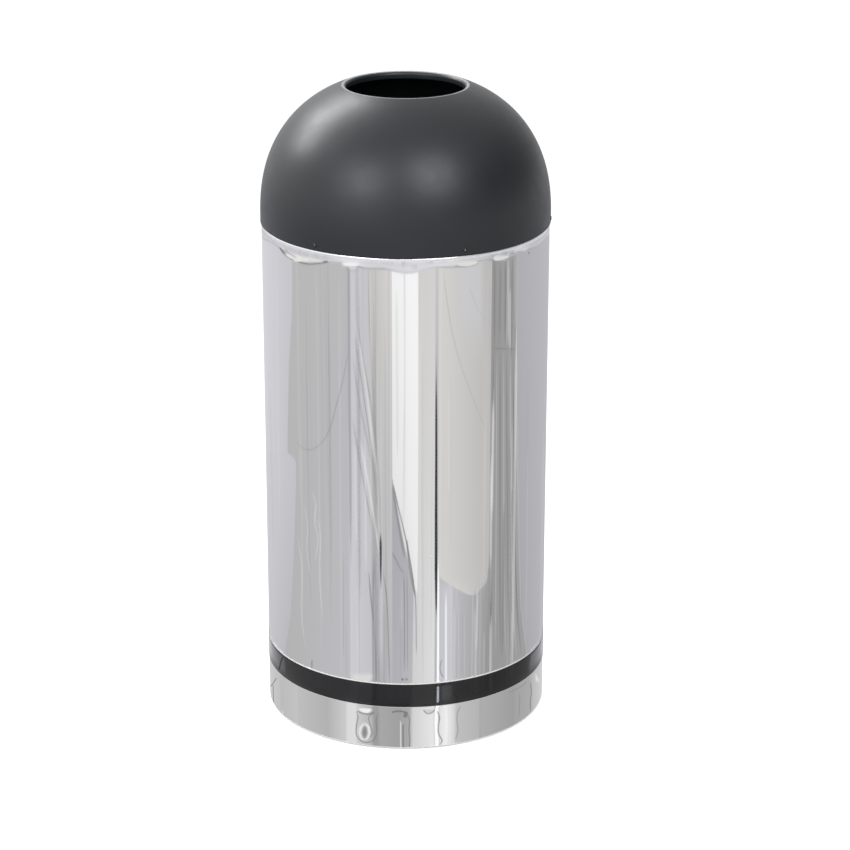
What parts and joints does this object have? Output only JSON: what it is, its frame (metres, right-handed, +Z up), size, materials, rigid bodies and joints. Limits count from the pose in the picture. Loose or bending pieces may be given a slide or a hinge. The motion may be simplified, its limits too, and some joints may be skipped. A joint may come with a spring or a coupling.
{
  "type": "waste bin",
  "caption": "Round open top waste bin: polished body with a black band, lift-off black dome with a round mouth, lift-out galvanised liner with a wire bail.",
  "frame": {"origin": "centre of the footprint on the floor", "axes": "+Z up along the bin's axis, -Y to the front, with the body's back seam at +Y"},
  "size_m": [0.3839, 0.384, 0.8636],
  "materials": {
    "polished_body": "mirror polished sheet",
    "plain_steel": "plain rolled sheet",
    "black_band": "gloss black",
    "glide": "moulded, matt black",
    "rivet_metal": "plain",
    "black_dome": "satin black powder coat",
    "black_ring": "matt black paint",
    "black_rivet": "satin black",
    "galvanised": "galvanised, spangled",
    "ear_metal": "zinc plated",
    "wire": "drawn and zinc plated"
  },
  "bodies": {
    "cabinet": {"body_shell": "polished_body", "top_hoop": "plain_steel", "accent_band": "black_band", "base_pan": "plain_steel", "glide_front": "glide", "glide_right": "glide", "glide_back": "glide", "glide_left": "glide", "base_rivets": "rivet_metal"},
    "liner": {"liner_wall": "galvanised", "liner_rim_wire": "wire", "liner_bottom": "galvanised", "ear_right": "ear_metal", "ear_left": "ear_metal", "ear_rivets": "rivet_metal"},
    "dome": {"dome_shell": "black_dome", "dome_ring": "black_ring", "dome_rivets": "black_rivet"},
    "bail": {"liner_bail": "wire"}
  },
  "joints": [
    {"name": "liner_lift", "type": "slide", "parent": "cabinet", "child": "liner", "axis": [0, 0, 1], "range_m": [0, 0.69]},
    {"name": "dome_lift", "type": "slide", "parent": "liner", "child": "dome", "axis": [0, 0, 1], "range_m": [0, 0.15]},
    {"name": "bail_swing", "type": "hinge", "parent": "liner", "child": "bail", "pos_m": [0, 0, 0.632], "axis": [1, 0, 0], "range_deg": [0, 180]}
  ]
}
